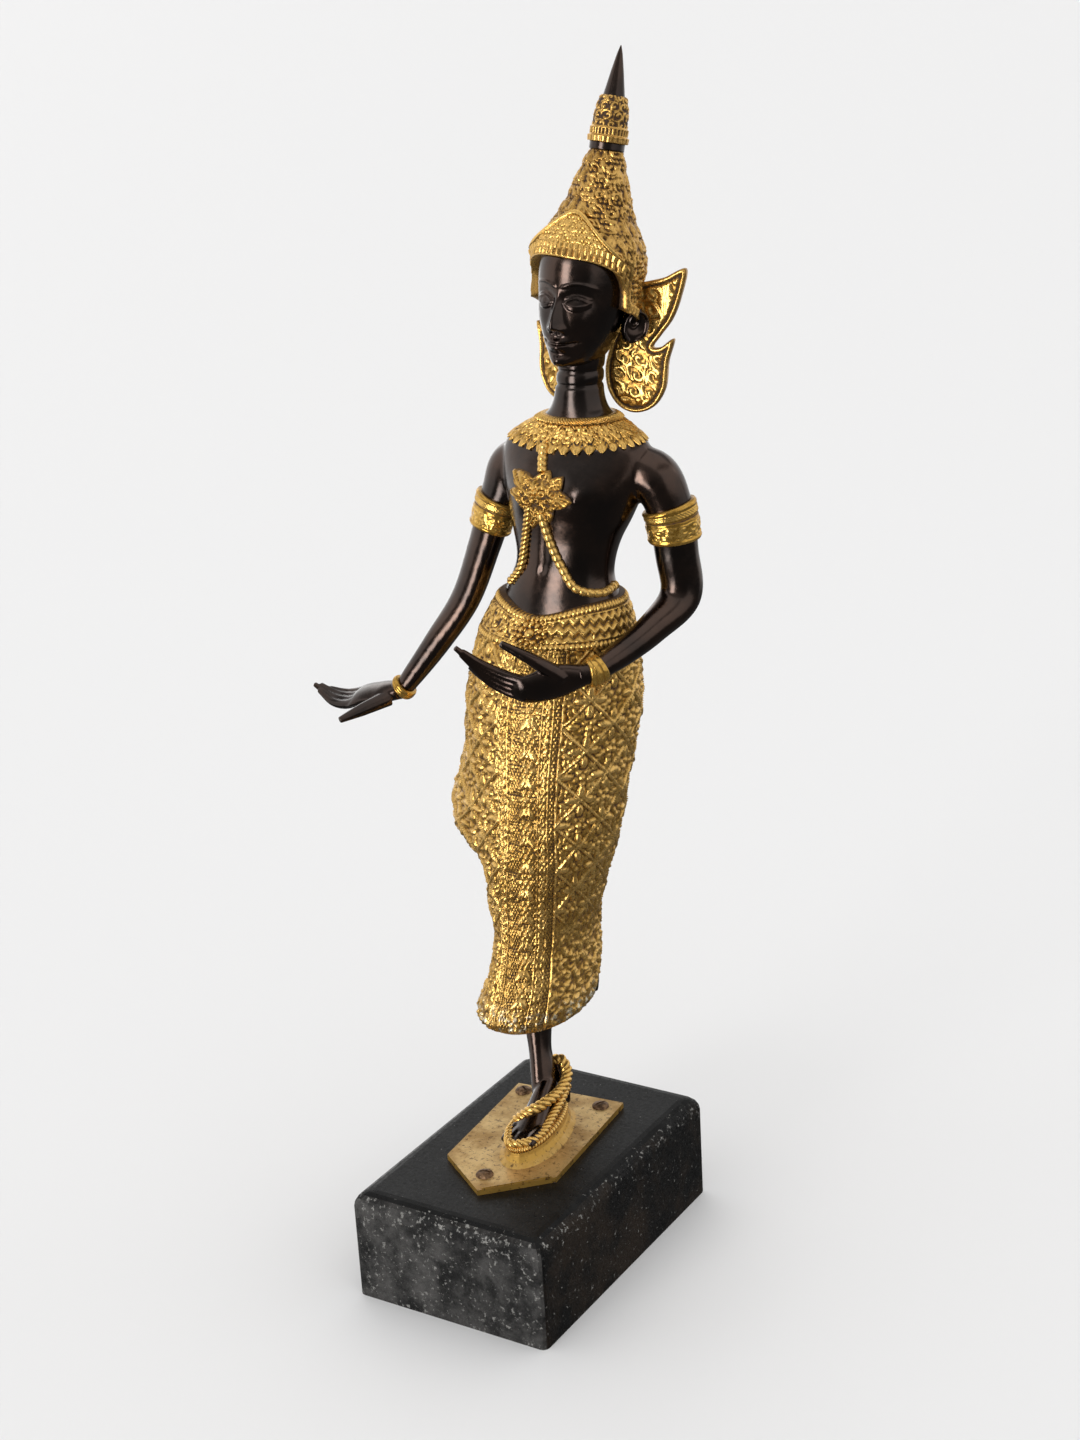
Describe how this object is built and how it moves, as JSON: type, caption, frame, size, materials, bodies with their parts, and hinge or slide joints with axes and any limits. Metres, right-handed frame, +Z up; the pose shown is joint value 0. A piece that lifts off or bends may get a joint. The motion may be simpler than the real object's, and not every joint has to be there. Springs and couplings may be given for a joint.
{
  "type": "standing dancer figure on a screwed stone plinth",
  "caption": "Gilded bronze dancer on one leg, in a tall crown, ear flanges, patterned skirt and jewellery, on a brass plate screwed to a black stone block",
  "frame": {"origin": "The middle of the stone block's flat underside, on the surface the figure stands on.", "axes": "+Z up, -Y the way the figure and the plate's point face, +X to the figure's own left. The long side of the block runs along Y."},
  "size_m": [0.1822, 0.1447, 0.5107],
  "materials": {
    "black_stone": "honed top, rough sawn sides, chipped edges",
    "plate_brass": "brushed, specked with brown",
    "screw_steel": "browned",
    "gilding": "worn gilding with brown dirt in the hollows",
    "dark_bronze": "polished dark brown-black patina"
  },
  "bodies": {
    "root": {"stone_block": "black_stone", "base_plate": "plate_brass", "screw_front": "screw_steel", "screw_rear_right": "screw_steel", "screw_rear_left": "screw_steel", "dancer": "gilding"}
  },
  "joints": []
}
